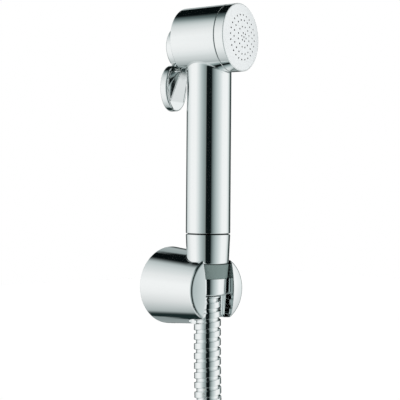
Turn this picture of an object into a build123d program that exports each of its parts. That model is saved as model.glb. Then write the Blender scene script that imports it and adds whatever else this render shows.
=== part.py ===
from build123d import *
import os
from math import cos, pi, radians, sin, sqrt, tan

os.makedirs("parts", exist_ok=True)

# Hand shower set with a trigger valve, in millimetres. The wall is the plane Y = 0 and the
# set stands out from it towards -Y. Up is +Z. The origin is the centre of the holder's back.

# Place of the handset in its holder
reach = 32.4  # wall to the handle's axis
turn = 17.0  # degrees that the handset is swivelled towards +X
head_z = 134.0  # height of the head's axis

# Clearances
running = 0.05  # a turning or sliding fit, on the radius
seat_gap = 0.1  # between flat faces that meet
loose = 0.2  # beside a moving piece
wall_gap = 0.35  # handset nut to the holder's bore

# Handle
handle_r = 12.0
handle_bore_r = 9.5
handle_foot_z = 29.9
handle_bore_top_z = 112.0
groove_h = 0.5
groove_depth = 1.0
edge = 0.4  # small broken edges
spigot_r = 10.4
spigot_h = 8.55
spigot_bore_r = 7.6

# Head barrel
barrel_back_f = -13.4  # distances along the spray direction, from the handle's axis
barrel_back_r = 18.0
seam_f = 14.3
face_rim_f = 20.0
face_r = 18.0
rear_bore_f = 1.0
partition_t = 2.0
neck_wall = 1.3
neck_l = 3.5
barrel_wall = 4.5  # round the cartridge, at the back
barrel_rim = 1.2  # round the cap's flange
outlet_r = 1.8

# Face
collar_wall = 0.5
collar_thread_wall = 2.1  # from the collar's outside to the neck
dome_h = 1.85
face_t = 1.45
jet_r = 0.45
jet_rings = [  # radius, count and turn in degrees
    (0.0, 1, 0.0),
    (2.2, 6, 42.0),
    (5.5, 12, 16.0),
    (9.0, 18, 7.0),
    (11.9, 24, 3.0),
]
flow_disc_t = 1.2
disc_step = 0.8
flow_hole_r = 1.3
flow_holes = 12
face_seal_lap = 0.6

# Valve, upright in the head behind the handle's axis
valve_f = -7.6
inlet_f = -1.6
inlet_r = 2.0
arm_pocket_top_z = 126.8
guide_h = 4.2
stem_r = 1.4
stem_seal_r = 0.6
chamber_r = 3.4
lower_chamber_h = 3.5
seat_r = 2.0
seat_h = 1.5
washer_r = 2.9
washer_t = 1.0
disc_r = 3.0
disc_t = 1.2
spring_r = 2.3
spring_wire_r = 0.35
spring_h = 6.4
spring_turns = 5.0
plug_h = 2.0

# Rear cap
cap_z = 131.0
cap_r = 12.1
cap_back_f = -20.9
cap_bore_r = 9.4
cap_wall = 2.0
cap_round = 1.8
flange_t = 1.6
cap_screw_r = 0.9
cap_screw_head_r = 1.5
cap_screw_head_h = 0.6
screw_slot_w = 0.4
cap_screw_l = 6.0
cap_screw_spread = 60.0

# Trigger
pivot_f = -18.6
pivot_z = 122.4
pin_r = 1.0
pin_l = 15.8
hub_r = 2.1
hub_w = 6.4
arm_w = 4.8
arm_t = 2.0
arm_tip_past = 1.4
arm_rise = 0.2  # the arm's middle above the pin
pad_back_f = -25.9
pad_t = 4.7
pad_r = 9.7
pad_foot_z = 96.5
pad_top_z = 121.8
pad_edge = 0.9
neck_inset = 0.4  # from the pad's rounding to the neck
neck_foot_up = 5.0  # the neck's slant starts this far above the pad's foot
neck_tip_f = -15.5
neck_tip_h = 1.5
neck_under_cap = 0.6  # where the neck is wider than the cap's slot, it ends this far below the cap

# Hose nut, swivel and ferrule, downwards from the handle
nut_h = 15.9
nut_foot_r = 11.3
nut_thread_r = 10.45
nut_lip_h = 2.7
nut_lip_r = 8.5
ring_h = 7.6
ring_top_r = 11.25
ring_foot_r = 10.6
ring_web = 1.2
ferrule_h = 9.1
ferrule_top_r = 10.3
ferrule_foot_r = 10.0
ferrule_round = 1.2
ferrule_web = 1.8
core_flange_r = 9.9
core_flange_t = 2.8
core_r = 8.4
tail_r = 5.5
tail_bore_r = 3.4
tail_flange_r = 8.2
tail_flange_t = 0.8
clip_r = 6.9
clip_t = 0.8
clip_pocket_h = 2.2
clip_gap_w = 3.0
clip_groove = 0.6
swivel_seal_r = 0.6
inlet_washer_t = 1.2
sieve_r = 6.5
sieve_t = 0.4
sieve_hole_r = 0.8
barb_r = 5.0
barb_step = 0.35
barbs = 3

# Holder
holder_wall_r = 21.5
holder_taper = 3.3  # the edge of the dome is this much smaller
holder_edge_d = 40.4
holder_front_d = 43.8
holder_round = 2.0
slot_w = 19.6
holder_fit = 0.15  # swivel ring to the bore
bore_foot_r = 9.9
plate_rim = 3.1  # holder's wall round the plate
plate_t = 4.9
plate_gap = 0.2
screw_spacing = 22.0
screw_hole_r = 2.3
countersink_r = 4.4
set_screw_r = 2.0
set_screw_l = 4.5
set_screw_d = 2.6
set_screw_gap = 0.3
set_screw_key = 2.0

# Hose
hose_r = 7.3
coil_z = -155.0
coil_r = 80.0
strand = 15.0  # from one turn of the coil to the next
tie_w = 7.0
tie_t = 1.2
tie_gap = 0.15
crossing = 20.0  # degrees past the left side that each half of the coil reaches
bend_share = 0.45  # of the shorter run, taken by each bend
end_drop = 48.0  # from the coil's level to the lower ferrule
end_ferrule_h = 11.0
end_nut_h = 15.0
end_nut_flat = 24.0
end_nut_chamfer = 1.4
end_web = 2.2
end_flange_r = 9.4
end_flange_t = 2.0
end_washer_t = 2.0
thread_r = 10.3
thread_l = 8.4
relief_r = 10.7

# Directions: forward is the way the water leaves, sideways is level and square to it
forward = Vector(sin(radians(turn)), -cos(radians(turn)), 0)
sideways = Vector(cos(radians(turn)), sin(radians(turn)), 0)
up = Vector(0, 0, 1)
foot = (Align.CENTER, Align.CENTER, Align.MIN)
handle_axis = Axis((0, -reach, 0), (0, 0, 1))
head_axis = Axis((0, -reach, head_z), tuple(forward))
profile = Plane(origin=(0, -reach, 0), x_dir=forward, z_dir=-sideways)
wall = Plane(origin=(0, 0, 0), x_dir=(1, 0, 0), z_dir=(0, -1, 0))
side = Plane(origin=(0, 0, 0), x_dir=(0, -1, 0), z_dir=(-1, 0, 0))


# A level plane on the handset, at height z and f forward of the handle's axis
def level(z, f=0.0):
    return Plane(origin=Vector(0, -reach, z) + forward * f, x_dir=sideways, z_dir=up)


# An upright plane across the handset that looks forward
def across(f, z=head_z):
    return Plane(origin=Vector(0, -reach, z) + forward * f, x_dir=sideways, z_dir=forward)


# Heights worked out down the handle's axis
nut_top_z = handle_foot_z - groove_h
nut_foot_z = nut_top_z - nut_h
spigot_foot_z = nut_top_z - spigot_h
core_top_z = spigot_foot_z - inlet_washer_t
ring_top_z = nut_foot_z - seat_gap
ring_foot_z = ring_top_z - ring_h
ferrule_top_z = ring_foot_z
ferrule_foot_z = ferrule_top_z - ferrule_h
core_foot_z = ring_foot_z + ring_web + tail_flange_t + seat_gap
clip_pocket_z = core_top_z - clip_pocket_h
clip_z = clip_pocket_z + seat_gap
tail_top_z = core_top_z - clip_t
groove_z = (core_top_z + core_foot_z) / 2

# Radii worked out in the holder, whose bore is cut past its top and bottom
holder_edge_r = holder_wall_r - holder_taper
bore_reach_z = holder_wall_r + edge
plate_r = holder_wall_r - plate_rim - plate_gap

# Radii worked out in the head, from its outside inwards
neck_r = face_r - collar_thread_wall
front_chamber_r = neck_r - neck_wall
cartridge_r = barrel_back_r - barrel_wall
flange_r = barrel_back_r - barrel_rim
cap_screw_at_r = (cartridge_r + flange_r) / 2

# Places worked out along the head
chamber_back_f = rear_bore_f + partition_t
neck_f = seam_f + neck_l
flange_front_f = barrel_back_f + flange_t
guide_z = arm_pocket_top_z
lower_chamber_z = guide_z + guide_h
seat_z = lower_chamber_z + lower_chamber_h
seat_top_z = seat_z + seat_h
disc_z = seat_top_z + washer_t
spring_z = disc_z + disc_t
plug_z = spring_z + spring_h
outlet_z = seat_top_z + outlet_r + loose
arm_top_z = pivot_z + arm_t / 2 + arm_rise
pad_middle_z = (pad_foot_z + pad_top_z) / 2
pad_front_f = pad_back_f + pad_t
neck_foot_z = pad_foot_z + neck_foot_up
neck_tip_z = pivot_z - pin_r - edge
pin_plane = Plane(origin=Vector(0, -reach, pivot_z) + forward * pivot_f, x_dir=up, z_dir=sideways)

# Handset casting: handle, threaded spigot and barrel in one
with BuildPart() as handset_body:
    with BuildSketch(profile):
        Polygon(
            (0, spigot_foot_z),
            (spigot_r, spigot_foot_z),
            (spigot_r, nut_top_z),
            (handle_r - groove_depth, nut_top_z),
            (handle_r - groove_depth, handle_foot_z),
            (handle_r - edge, handle_foot_z),
            (handle_r, handle_foot_z + edge),
            (handle_r, head_z),
            (0, head_z),
            align=None,
        )
    revolve(axis=handle_axis)
    with BuildSketch(profile):
        Polygon(
            (barrel_back_f, head_z),
            (barrel_back_f, head_z + barrel_back_r - edge),
            (barrel_back_f + edge, head_z + barrel_back_r),
            (seam_f - edge, head_z + face_r),
            (seam_f, head_z + face_r - edge),
            (seam_f, head_z + neck_r),
            (neck_f, head_z + neck_r),
            (neck_f, head_z),
            align=None,
        )
    revolve(axis=head_axis)
    with Locations(across(chamber_back_f)):
        Cylinder(front_chamber_r - disc_step, neck_f - chamber_back_f, align=foot, mode=Mode.SUBTRACT)
    with Locations(across(neck_f - flow_disc_t)):
        Cylinder(front_chamber_r, flow_disc_t, align=foot, mode=Mode.SUBTRACT)
    with Locations(across(barrel_back_f)):
        Cylinder(cartridge_r + running, rear_bore_f - barrel_back_f, align=foot, mode=Mode.SUBTRACT)
        Cylinder(flange_r + running, flange_t, align=foot, mode=Mode.SUBTRACT)
        with PolarLocations(cap_screw_at_r, 2, 90 - cap_screw_spread / 2, cap_screw_spread, endpoint=True):
            Cylinder(cap_screw_r, flange_t + cap_screw_l, align=foot, mode=Mode.SUBTRACT)
    with Locations(across(rear_bore_f, outlet_z)):
        Cylinder(outlet_r, partition_t, align=foot, mode=Mode.SUBTRACT)
    with Locations(level(handle_foot_z + spigot_h)):
        Cylinder(handle_bore_r, handle_bore_top_z - handle_foot_z - spigot_h, align=foot, mode=Mode.SUBTRACT)
    with Locations(level(spigot_foot_z)):
        Cylinder(spigot_bore_r, handle_foot_z + spigot_h - spigot_foot_z, align=foot, mode=Mode.SUBTRACT)
    with Locations(level(handle_bore_top_z, inlet_f)):
        Cylinder(inlet_r, head_z - cartridge_r - handle_bore_top_z, align=foot, mode=Mode.SUBTRACT)
handset_body.part.label = "handset_body"
export_step(handset_body.part, "parts/handset_body.step")

# Valve cartridge: a plastic plug in the barrel's rear bore, with the upright valve bored in it
with BuildPart() as valve_cartridge:
    with Locations(across(flange_front_f)):
        Cylinder(cartridge_r, rear_bore_f - flange_front_f, align=foot)
    pocket_l = valve_f + arm_tip_past + 2 * loose - flange_front_f
    with Locations(level(head_z - cartridge_r, flange_front_f + pocket_l / 2)):
        pocket_h = arm_pocket_top_z - head_z + cartridge_r
        Box(arm_w + 6 * loose, pocket_l, pocket_h, align=foot, mode=Mode.SUBTRACT)
    with Locations(level(guide_z, valve_f)):
        Cylinder(stem_r + running, guide_h, align=foot, mode=Mode.SUBTRACT)
    with Locations(level(guide_z + guide_h / 3, valve_f)):
        seal_room_r = stem_r + 2 * stem_seal_r + running
        Cylinder(seal_room_r, 2 * stem_seal_r + seat_gap, align=foot, mode=Mode.SUBTRACT)
    with Locations(level(lower_chamber_z, valve_f)):
        Cylinder(chamber_r, lower_chamber_h, align=foot, mode=Mode.SUBTRACT)
        Cylinder(seat_r, lower_chamber_h + seat_h, align=foot, mode=Mode.SUBTRACT)
    with Locations(level(seat_top_z, valve_f)):
        Cylinder(chamber_r, head_z + cartridge_r - seat_top_z, align=foot, mode=Mode.SUBTRACT)
    with Locations(level(head_z - cartridge_r, inlet_f)):
        Cylinder(inlet_r, seat_z - head_z + cartridge_r, align=foot, mode=Mode.SUBTRACT)
    with Locations(across(valve_f, lower_chamber_z + lower_chamber_h / 2)):
        Cylinder(lower_chamber_h / 2 - seat_gap, inlet_f - valve_f, align=foot, mode=Mode.SUBTRACT)
    with Locations(across(valve_f, outlet_z)):
        Cylinder(outlet_r, rear_bore_f - valve_f, align=foot, mode=Mode.SUBTRACT)
valve_cartridge.part.label = "valve_cartridge"
export_step(valve_cartridge.part, "parts/valve_cartridge.step")

# Stem with the valve disc, lifted by the trigger's arm
with BuildPart() as valve_stem:
    with Locations(level(arm_top_z + seat_gap + stem_r, valve_f)):
        Sphere(stem_r)
        Cylinder(stem_r, seat_top_z - arm_top_z - seat_gap - stem_r, align=foot)
    with Locations(level(seat_top_z, valve_f)):
        Cylinder(stem_r - edge, washer_t, align=foot)
    with Locations(level(disc_z, valve_f)):
        Cylinder(disc_r, disc_t, align=foot)
    with Locations(level(spring_z, valve_f)):
        Cylinder(spring_r - spring_wire_r - loose, spring_h / 3, align=foot)
valve_stem.part.label = "valve_stem"
export_step(valve_stem.part, "parts/valve_stem.step")

with BuildPart(level(seat_top_z, valve_f)) as valve_washer:
    Cylinder(washer_r, washer_t, align=foot)
    Cylinder(stem_r - edge + running, washer_t, align=foot, mode=Mode.SUBTRACT)
valve_washer.part.label = "valve_washer"
export_step(valve_washer.part, "parts/valve_washer.step")

with BuildPart(level(guide_z + guide_h / 3 + stem_seal_r + seat_gap / 2, valve_f)) as stem_seal:
    Torus(stem_r + running + stem_seal_r, stem_seal_r)
stem_seal.part.label = "stem_seal"
export_step(stem_seal.part, "parts/stem_seal.step")

# Closing spring above the disc
with BuildPart() as valve_spring:
    spring_rise = spring_h - 2 * spring_wire_r
    with BuildLine(level(spring_z + spring_wire_r, valve_f)) as coil_line:
        Helix(spring_rise / spring_turns, spring_rise, spring_r)
    with BuildSketch(Plane(origin=coil_line.line @ 0, z_dir=coil_line.line % 0)):
        Circle(spring_wire_r)
    sweep(path=coil_line.line, is_frenet=True)
valve_spring.part.label = "valve_spring"
export_step(valve_spring.part, "parts/valve_spring.step")

with BuildPart(level(plug_z, valve_f)) as spring_plug:
    Cylinder(chamber_r - running, plug_h, align=foot)
    Hole(stem_r / 2, plug_h / 2)
spring_plug.part.label = "spring_plug"
export_step(spring_plug.part, "parts/spring_plug.step")

# Rear cap: a flange sunk in the barrel's end, and an offset boss that carries the trigger's pin
with BuildPart() as rear_cap:
    with Locations(across(cap_back_f, cap_z)):
        Cylinder(cap_r, barrel_back_f - cap_back_f, align=foot)
    fillet(rear_cap.faces().sort_by(Axis((0, -reach, 0), tuple(forward)))[0].edges(), cap_round)
    with Locations(across(barrel_back_f)):
        Cylinder(flange_r, flange_t, align=foot)
    with Locations(across(cap_back_f + cap_wall, cap_z)):
        Cylinder(cap_bore_r, flange_front_f - cap_back_f - cap_wall, align=foot, mode=Mode.SUBTRACT)
    slot_top_z = pivot_z + hub_r + 2 * loose
    with Locations(level(cap_z - cap_r, (cap_back_f + flange_front_f) / 2)):
        Box(
            hub_w + 2 * loose,
            flange_front_f - cap_back_f,
            slot_top_z - cap_z + cap_r,
            align=foot,
            mode=Mode.SUBTRACT,
        )
    with Locations(level(head_z - flange_r, flange_front_f - flange_t / 2)):
        Box(hub_w + 2 * loose, flange_t, slot_top_z - head_z + flange_r, align=foot, mode=Mode.SUBTRACT)
    with BuildSketch(profile):
        Polygon(
            (pivot_f - pin_r, cap_z - cap_r - edge),
            (barrel_back_f, cap_z - cap_r - edge),
            (barrel_back_f, pivot_z - pin_r - edge),
            (pivot_f + pin_r + edge, pivot_z - pin_r - edge),
            align=None,
        )
    extrude(amount=cap_r, both=True, mode=Mode.SUBTRACT)
    with Locations(pin_plane.offset(-pin_l / 2)):
        Cylinder(pin_r + running, 2 * cap_r, align=foot, mode=Mode.SUBTRACT)
    with Locations(across(barrel_back_f)):
        with PolarLocations(cap_screw_at_r, 2, 90 - cap_screw_spread / 2, cap_screw_spread, endpoint=True):
            Cylinder(cap_screw_r, flange_t, align=foot, mode=Mode.SUBTRACT)
            Cone(cap_screw_head_r, cap_screw_r, cap_screw_head_h, align=foot, mode=Mode.SUBTRACT)
rear_cap.part.label = "rear_cap"
export_step(rear_cap.part, "parts/rear_cap.step")

# Cap screws: one each side, above the boss
for screw_name, screw_turn in (
    ("cap_screw_near", cap_screw_spread / 2),
    ("cap_screw_far", -cap_screw_spread / 2),
):
    with BuildPart() as cap_screw:
        with Locations(across(barrel_back_f)):
            with PolarLocations(cap_screw_at_r, 1, 90 + screw_turn):
                Cylinder(cap_screw_r - running, flange_t + cap_screw_l - seat_gap, align=foot)
                Cone(cap_screw_head_r - running, cap_screw_r - running, cap_screw_head_h, align=foot)
                Box(screw_slot_w, 2 * cap_screw_head_r, screw_slot_w, align=foot, mode=Mode.SUBTRACT)
    cap_screw.part.label = screw_name
    export_step(cap_screw.part, f"parts/{screw_name}.step")

# Trigger: an oval thumb pad, a slanted neck that narrows to the hub on the pin, and an arm
# under the valve stem
with BuildPart() as trigger:
    with BuildSketch(across(pad_back_f, pad_middle_z)):
        Ellipse(pad_r, pad_top_z - pad_middle_z)
    extrude(amount=pad_t)
    pad_faces = trigger.faces().sort_by(Axis((0, -reach, 0), tuple(forward)))
    fillet(pad_faces[0].edges() + pad_faces[-1].edges(), pad_edge)
    root_r = pad_r - pad_edge - neck_inset
    root_h = pad_top_z - pad_middle_z - pad_edge - neck_inset
    neck_foot_w = root_r * sqrt(1 - ((pad_middle_z - neck_foot_z) / root_h) ** 2)
    with BuildSketch(across(pad_front_f, 0)):
        with BuildLine():
            right = (root_r, pad_middle_z)
            left = (-root_r, pad_middle_z)
            Polyline(right, (neck_foot_w, neck_foot_z), (-neck_foot_w, neck_foot_z), left)
            EllipticalCenterArc((0, pad_middle_z), root_r, root_h, arc_size=180)
        make_face()
    with BuildSketch(across(neck_tip_f, 0)):
        with Locations((0, neck_tip_z - neck_tip_h / 2)):
            Rectangle(hub_w, neck_tip_h)
    loft(ruled=True)
    for way in (1, -1):
        with Locations(across(pad_front_f, cap_z - cap_r - neck_under_cap)):
            with Locations((way * hub_w / 2, 0)):
                Box(
                    pad_r,
                    pad_r,
                    neck_tip_f - pad_front_f,
                    align=(Align.MIN if way > 0 else Align.MAX, Align.MIN, Align.MIN),
                    mode=Mode.SUBTRACT,
                )
    with BuildSketch(profile):
        Polygon(
            (pivot_f - hub_r, pivot_z),
            (pad_front_f, neck_tip_z - hub_r),
            (pivot_f + hub_r, neck_tip_z - hub_r),
            (pivot_f + hub_r, pivot_z),
            align=None,
        )
        with Locations((pivot_f, pivot_z)):
            Circle(hub_r)
    extrude(amount=hub_w / 2, both=True)
    with BuildSketch(profile):
        Polygon(
            (pivot_f, arm_top_z),
            (valve_f + arm_tip_past, arm_top_z),
            (valve_f + arm_tip_past, arm_top_z - arm_t),
            (pivot_f, arm_top_z - arm_t),
            align=None,
        )
    extrude(amount=arm_w / 2, both=True)
    with Locations(pin_plane):
        Cylinder(pin_r + running, hub_w, mode=Mode.SUBTRACT)
trigger.part.label = "trigger"
export_step(trigger.part, "parts/trigger.step")

with BuildPart(pin_plane) as trigger_pin:
    Cylinder(pin_r, pin_l)
trigger_pin.part.label = "trigger_pin"
export_step(trigger_pin.part, "parts/trigger_pin.step")

# Face collar: a ring screwed on the barrel's neck that holds the spray face
with BuildPart() as face_collar:
    with BuildSketch(profile):
        Polygon(
            (seam_f, head_z + neck_r + running),
            (seam_f, head_z + face_r - edge),
            (seam_f + edge, head_z + face_r),
            (face_rim_f - edge / 2, head_z + face_r),
            (face_rim_f, head_z + face_r - edge / 2),
            (face_rim_f, head_z + face_r - collar_wall),
            (face_rim_f - face_t, head_z + face_r - collar_wall),
            (face_rim_f - face_t, head_z + neck_r + running),
            align=None,
        )
    revolve(axis=head_axis)
face_collar.part.label = "face_collar"
export_step(face_collar.part, "parts/face_collar.step")

# Spray face: a shallow dome with rings of jets
with BuildPart() as spray_face:
    with BuildSketch(profile):
        with BuildLine():
            rim = (face_rim_f, head_z + face_r - collar_wall - running)
            back = (face_rim_f - face_t, head_z + face_r - collar_wall - running)
            Polyline(rim, back, (back[0], head_z), (face_rim_f + dome_h, head_z))
            TangentArc((face_rim_f + dome_h, head_z), rim, tangent=(0, 1))
        make_face()
    revolve(axis=head_axis)
    with Locations(across(face_rim_f - face_t)):
        for ring_r, count, phase in jet_rings:
            with PolarLocations(ring_r, count, 90 - phase):
                Cylinder(jet_r, face_t + dome_h + seat_gap, align=foot, mode=Mode.SUBTRACT)
spray_face.part.label = "spray_face"
export_step(spray_face.part, "parts/spray_face.step")

# Flow disc: evens out the water behind the face, on a step at the neck's mouth
with BuildPart(across(neck_f - flow_disc_t)) as flow_disc:
    Cylinder(front_chamber_r - running, flow_disc_t, align=foot)
    with PolarLocations(front_chamber_r * 2 / 3, flow_holes):
        Cylinder(flow_hole_r, flow_disc_t, align=foot, mode=Mode.SUBTRACT)
    with PolarLocations(front_chamber_r / 3, flow_holes // 2):
        Cylinder(flow_hole_r, flow_disc_t, align=foot, mode=Mode.SUBTRACT)
flow_disc.part.label = "flow_disc"
export_step(flow_disc.part, "parts/flow_disc.step")

with BuildPart(across(neck_f)) as face_seal:
    Cylinder(neck_r, face_rim_f - face_t - neck_f, align=foot)
    Cylinder(front_chamber_r - face_seal_lap, face_rim_f - face_t - neck_f, align=foot, mode=Mode.SUBTRACT)
face_seal.part.label = "face_seal"
export_step(face_seal.part, "parts/face_seal.step")

# Hose nut: the chromed cone that screws on the handle's spigot
with BuildPart() as hose_nut:
    with BuildSketch(profile):
        Polygon(
            (nut_thread_r, nut_top_z),
            (handle_r - edge, nut_top_z),
            (handle_r, nut_top_z - edge),
            (nut_foot_r, nut_foot_z),
            (nut_lip_r, nut_foot_z),
            (nut_lip_r, nut_foot_z + nut_lip_h),
            (nut_thread_r, nut_foot_z + nut_lip_h),
            align=None,
        )
    revolve(axis=handle_axis)
hose_nut.part.label = "hose_nut"
export_step(hose_nut.part, "parts/hose_nut.step")

with BuildPart(level(core_top_z)) as inlet_washer:
    Cylinder(nut_thread_r - loose, inlet_washer_t, align=foot)
    Cylinder(sieve_r + running, inlet_washer_t, align=foot, mode=Mode.SUBTRACT)
inlet_washer.part.label = "inlet_washer"
export_step(inlet_washer.part, "parts/inlet_washer.step")

with BuildPart(level(core_top_z + (inlet_washer_t - sieve_t) / 2)) as sieve:
    Cylinder(sieve_r, sieve_t, align=foot)
    with HexLocations(sieve_hole_r * 1.35, 5, 5):
        Cylinder(sieve_hole_r, sieve_t, align=foot, mode=Mode.SUBTRACT)
sieve.part.label = "sieve"
export_step(sieve.part, "parts/sieve.step")

# Swivel core: the sleeve clamped under the nut, in which the hose tail turns
with BuildPart() as swivel_core:
    with BuildSketch(profile):
        Polygon(
            (clip_r + loose, core_top_z),
            (core_flange_r, core_top_z),
            (core_flange_r, core_top_z - core_flange_t),
            (core_r, core_top_z - core_flange_t),
            (core_r, core_foot_z),
            (tail_r + running, core_foot_z),
            (tail_r + running, clip_pocket_z),
            (clip_r + loose, clip_pocket_z),
            align=None,
        )
    revolve(axis=handle_axis)
swivel_core.part.label = "swivel_core"
export_step(swivel_core.part, "parts/swivel_core.step")

# Saw teeth that hold a hose, on a tail that points down (way -1) or up (way 1) from z
def barb_outline(z, way, length):
    tooth = length / barbs
    points = []
    for turn_index in range(barbs):
        points.append((barb_r, z + way * tooth * turn_index))
        points.append((barb_r - barb_step, z + way * tooth * (turn_index + 1)))
    return points


# Hose tail: turns in the core on its seal, and holds the hose on its barbs
with BuildPart() as hose_tail:
    with BuildSketch(profile):
        Polygon(
            (tail_bore_r, tail_top_z),
            (tail_r, tail_top_z),
            (tail_r, clip_z + clip_t),
            (tail_r - clip_groove, clip_z + clip_t),
            (tail_r - clip_groove, clip_z),
            (tail_r, clip_z),
            (tail_r, groove_z + swivel_seal_r + running),
            (tail_r - 2 * swivel_seal_r, groove_z + swivel_seal_r + running),
            (tail_r - 2 * swivel_seal_r, groove_z - swivel_seal_r - running),
            (tail_r, groove_z - swivel_seal_r - running),
            (tail_r, core_foot_z - seat_gap),
            (tail_flange_r, core_foot_z - seat_gap),
            (tail_flange_r, ring_foot_z + ring_web),
            (tail_r, ring_foot_z + ring_web),
            (tail_r, ferrule_top_z - ferrule_web),
            *barb_outline(ferrule_top_z - ferrule_web, -1, ferrule_h - ferrule_web),
            (tail_bore_r, ferrule_foot_z),
            align=None,
        )
    revolve(axis=handle_axis)
hose_tail.part.label = "hose_tail"
export_step(hose_tail.part, "parts/hose_tail.step")

with BuildPart(level(groove_z)) as swivel_seal:
    Torus(tail_r - swivel_seal_r, swivel_seal_r - running / 2)
swivel_seal.part.label = "swivel_seal"
export_step(swivel_seal.part, "parts/swivel_seal.step")

# Retaining ring: an open ring that keeps the tail in the core
with BuildPart(level(clip_z)) as retaining_ring:
    Cylinder(clip_r, clip_t, align=foot)
    Cylinder(tail_r - clip_groove + running, clip_t, align=foot, mode=Mode.SUBTRACT)
    with Locations((clip_r, 0)):
        Box(clip_r, clip_gap_w, clip_t, align=foot, mode=Mode.SUBTRACT)
retaining_ring.part.label = "retaining_ring"
export_step(retaining_ring.part, "parts/retaining_ring.step")

# Swivel ring: the grey plastic ring between nut and ferrule
with BuildPart() as swivel_ring:
    with BuildSketch(profile):
        Polygon(
            (core_r + wall_gap, ring_top_z),
            (ring_top_r, ring_top_z),
            (ring_foot_r, ring_foot_z),
            (tail_r + running, ring_foot_z),
            (tail_r + running, ring_foot_z + ring_web),
            (core_r + wall_gap, ring_foot_z + ring_web),
            align=None,
        )
    revolve(axis=handle_axis)
swivel_ring.part.label = "swivel_ring"
export_step(swivel_ring.part, "parts/swivel_ring.step")

# Hose ferrule: a chromed cup over the hose's end
with BuildPart() as hose_ferrule:
    with BuildSketch(profile):
        Polygon(
            (tail_r + running, ferrule_top_z),
            (ferrule_top_r, ferrule_top_z),
            (ferrule_foot_r, ferrule_foot_z),
            (hose_r + running, ferrule_foot_z),
            (hose_r + running, ferrule_top_z - ferrule_web),
            (tail_r + running, ferrule_top_z - ferrule_web),
            align=None,
        )
    revolve(axis=handle_axis)
    foot_circles = hose_ferrule.edges().filter_by(GeomType.CIRCLE).group_by(Axis.Z)[0]
    fillet(foot_circles.sort_by(SortBy.RADIUS)[-1], ferrule_round)
hose_ferrule.part.label = "hose_ferrule"
export_step(hose_ferrule.part, "parts/hose_ferrule.step")

# Crimp ring: squeezes the hose's liner on the barbs
with BuildPart(level(ferrule_foot_z)) as crimp_ring:
    Cylinder(hose_r, ferrule_h - ferrule_web - seat_gap, align=foot)
    Cylinder(barb_r + running, ferrule_h - ferrule_web - seat_gap, align=foot, mode=Mode.SUBTRACT)
crimp_ring.part.label = "crimp_ring"
export_step(crimp_ring.part, "parts/crimp_ring.step")

# Holder: a conical boss with a shallow dome, an upright conical bore and a slot for the hose
holder_axis = Axis((0, 0, 0), (0, -1, 0))
bore_ring_r = ring_foot_r + holder_fit
nut_slope = (handle_r - nut_foot_r) / nut_h
bore_nut_r = nut_foot_r + wall_gap
bore_top_r = bore_nut_r + (bore_reach_z - nut_foot_z) * nut_slope
with BuildPart() as holder_body:
    with BuildSketch(side):
        with BuildLine():
            rim = (holder_edge_d, holder_edge_r)
            Polyline((holder_front_d, 0), (0, 0), (0, holder_wall_r), rim)
            TangentArc((holder_front_d, 0), rim, tangent=(0, 1))
        make_face()
    revolve(axis=holder_axis)
    fillet(holder_body.edges().filter_by(GeomType.CIRCLE).sort_by(SortBy.LENGTH)[-2], holder_round)
    with BuildSketch(profile):
        Polygon(
            (0, -bore_reach_z),
            (bore_foot_r, -bore_reach_z),
            (bore_ring_r, ring_foot_z),
            (bore_nut_r, nut_foot_z),
            (bore_top_r, bore_reach_z),
            (0, bore_reach_z),
            align=None,
        )
    revolve(axis=handle_axis, mode=Mode.SUBTRACT)
    with Locations(Plane(origin=(0, -reach, 0), z_dir=(0, 0, 1))):
        Box(
            slot_w,
            2 * (holder_front_d - reach),
            2 * holder_wall_r,
            align=(Align.CENTER, Align.MAX, Align.CENTER),
            mode=Mode.SUBTRACT,
        )
    with Locations(wall):
        Cylinder(plate_r + plate_gap, plate_t + plate_gap, align=foot, mode=Mode.SUBTRACT)
    with Locations((0, -set_screw_d, -holder_wall_r)):
        Cylinder(set_screw_r + running, set_screw_l, align=foot, mode=Mode.SUBTRACT)
holder_body.part.label = "holder_body"
export_step(holder_body.part, "parts/holder_body.step")

# Wall plate: screwed to the wall, it carries the holder, which its set screw locks
with BuildPart() as wall_plate:
    with Locations(wall):
        Cylinder(plate_r, plate_t, align=foot)
    with Locations(wall.offset(plate_t)):
        with Locations((-screw_spacing / 2, 0), (screw_spacing / 2, 0)):
            CounterSinkHole(screw_hole_r, countersink_r)
    with Locations((0, -set_screw_d, -holder_wall_r)):
        Cylinder(set_screw_r + running, set_screw_l + running, align=foot, mode=Mode.SUBTRACT)
wall_plate.part.label = "wall_plate"
export_step(wall_plate.part, "parts/wall_plate.step")

with BuildPart() as set_screw:
    with Locations((0, -set_screw_d, -holder_wall_r + set_screw_gap)):
        Cylinder(set_screw_r, set_screw_l - set_screw_gap, align=foot)
    chamfer(set_screw.edges().filter_by(GeomType.CIRCLE).sort_by(Axis.Z)[-1], set_screw_r / 3)
    with BuildSketch(Plane(origin=(0, -set_screw_d, -holder_wall_r + set_screw_gap))):
        RegularPolygon(set_screw_key / 2, 6, major_radius=False)
    extrude(amount=set_screw_l / 3, mode=Mode.SUBTRACT)
set_screw.part.label = "set_screw"
export_step(set_screw.part, "parts/set_screw.step")


# Round section of the hose swept along straight runs and tangent arcs
def hose_run(points):
    runs = [b - a for a, b in zip(points, points[1:])]
    radii = []
    for before, after in zip(runs, runs[1:]):
        half_turn = radians(before.get_angle(after)) / 2
        radii.append(bend_share * min(before.length, after.length) / tan(half_turn))
    print("bend radii", [round(r) for r in radii])
    with BuildPart() as run:
        with BuildLine() as route:
            FilletPolyline(*points, radius=radii)
        middle = route.wire()
        with BuildSketch(Plane(origin=middle @ 0, z_dir=middle % 0)):
            Circle(hose_r)
        sweep(path=middle)
    print("volume", round(run.part.volume), "section times length", round(pi * hose_r**2 * middle.length))
    return run.part


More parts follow.
